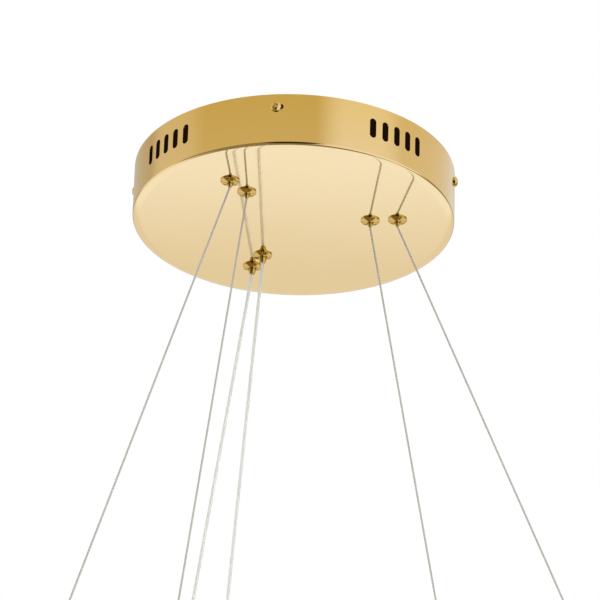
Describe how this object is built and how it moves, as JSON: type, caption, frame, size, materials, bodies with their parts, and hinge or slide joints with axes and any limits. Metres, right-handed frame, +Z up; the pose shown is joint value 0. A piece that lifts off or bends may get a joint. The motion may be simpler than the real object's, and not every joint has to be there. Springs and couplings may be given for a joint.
{
  "type": "led ring chandelier",
  "caption": "Tiered LED ring chandelier: round mirror-gold ceiling canopy with side vents, spreading steel ropes and clear power cables in release grips, gold channel rings lit below.",
  "frame": {"origin": "middle of the bracket's face against the ceiling, at the centre of the ceiling screw circle", "axes": "+Z up into the ceiling; +X towards the side pair of suspension lines; the power cables are at +120 degrees from +X"},
  "size_m": [0.7999, 0.8, 1.0701],
  "materials": {
    "gold_canopy": "mirror-polished gold plating on drawn steel",
    "gold_ring": "polished gold anodising on rolled aluminium",
    "grip_brass": "turned and polished brass",
    "brass_screw": "polished, slightly toned",
    "steel_rope": "stranded stainless wire rope",
    "clear_cable": "clear PVC over a twisted tinned core",
    "zinc_steel": "zinc-plated steel",
    "black_steel": "black electro-coated pressed steel",
    "hard_steel": "hardened steel",
    "white_case": "fine moulded texture",
    "foam_pad": "closed-cell foam",
    "terminal_plastic": "moulded nylon",
    "opal_diffuser": "opal acrylic, satin",
    "led_strip": "flexible lit strip"
  },
  "bodies": {
    "canopy": {"canopy_shell": "gold_canopy", "ceiling_bracket": "black_steel", "driver_pads": "foam_pad", "earth_screw": "brass_screw", "grip_nuts": "zinc_steel", "large_cable_back": "clear_cable", "large_driver": "white_case", "large_grips": "grip_brass", "large_rope_front": "steel_rope", "large_rope_side": "steel_rope", "large_spring_back": "hard_steel", "large_spring_front": "hard_steel", "large_spring_side": "hard_steel", "side_screws": "brass_screw", "small_cable_back": "clear_cable", "small_driver": "white_case", "small_grips": "grip_brass", "small_rope_front": "steel_rope", "small_rope_side": "steel_rope", "small_spring_back": "hard_steel", "small_spring_front": "hard_steel", "small_spring_side": "hard_steel", "terminal_block": "terminal_plastic"},
    "large_ring": {"large_ring_profile": "gold_ring", "large_ring_diffuser": "opal_diffuser", "large_led_strip": "led_strip", "large_line_anchors": "grip_brass"},
    "small_ring": {"small_ring_profile": "gold_ring", "small_ring_diffuser": "opal_diffuser", "small_led_strip": "led_strip", "small_line_anchors": "grip_brass"},
    "large_release_side": {"large_nipple_side": "grip_brass", "large_jaws_side": "hard_steel"},
    "large_release_front": {"large_nipple_front": "grip_brass", "large_jaws_front": "hard_steel"},
    "large_release_back": {"large_nipple_back": "grip_brass", "large_jaws_back": "hard_steel"},
    "small_release_side": {"small_nipple_side": "grip_brass", "small_jaws_side": "hard_steel"},
    "small_release_front": {"small_nipple_front": "grip_brass", "small_jaws_front": "hard_steel"},
    "small_release_back": {"small_nipple_back": "grip_brass", "small_jaws_back": "hard_steel"}
  },
  "joints": [
    {"name": "large_ring_height", "type": "slide", "parent": "canopy", "child": "large_ring", "axis": [0, 0, 1], "range_m": [0, 0.35], "deforming": ["large_rope_side", "large_rope_front", "large_cable_back"]},
    {"name": "small_ring_height", "type": "slide", "parent": "canopy", "child": "small_ring", "axis": [0, 0, 1], "range_m": [0, 0.5], "deforming": ["small_rope_side", "small_rope_front", "small_cable_back"]},
    {"name": "large_release_side_press", "type": "slide", "parent": "canopy", "child": "large_release_side", "axis": [0, 0, 1], "range_m": [0, 0.0015], "stiffness_N_per_m": 500, "springref_m": -0.002, "deforming": ["large_spring_side"]},
    {"name": "large_release_front_press", "type": "slide", "parent": "canopy", "child": "large_release_front", "axis": [0, 0, 1], "range_m": [0, 0.0015], "stiffness_N_per_m": 500, "springref_m": -0.002, "deforming": ["large_spring_front"]},
    {"name": "large_release_back_press", "type": "slide", "parent": "canopy", "child": "large_release_back", "axis": [0, 0, 1], "range_m": [0, 0.0015], "stiffness_N_per_m": 500, "springref_m": -0.002, "deforming": ["large_spring_back"]},
    {"name": "small_release_side_press", "type": "slide", "parent": "canopy", "child": "small_release_side", "axis": [0, 0, 1], "range_m": [0, 0.0015], "stiffness_N_per_m": 500, "springref_m": -0.002, "deforming": ["small_spring_side"]},
    {"name": "small_release_front_press", "type": "slide", "parent": "canopy", "child": "small_release_front", "axis": [0, 0, 1], "range_m": [0, 0.0015], "stiffness_N_per_m": 500, "springref_m": -0.002, "deforming": ["small_spring_front"]},
    {"name": "small_release_back_press", "type": "slide", "parent": "canopy", "child": "small_release_back", "axis": [0, 0, 1], "range_m": [0, 0.0015], "stiffness_N_per_m": 500, "springref_m": -0.002, "deforming": ["small_spring_back"]}
  ]
}
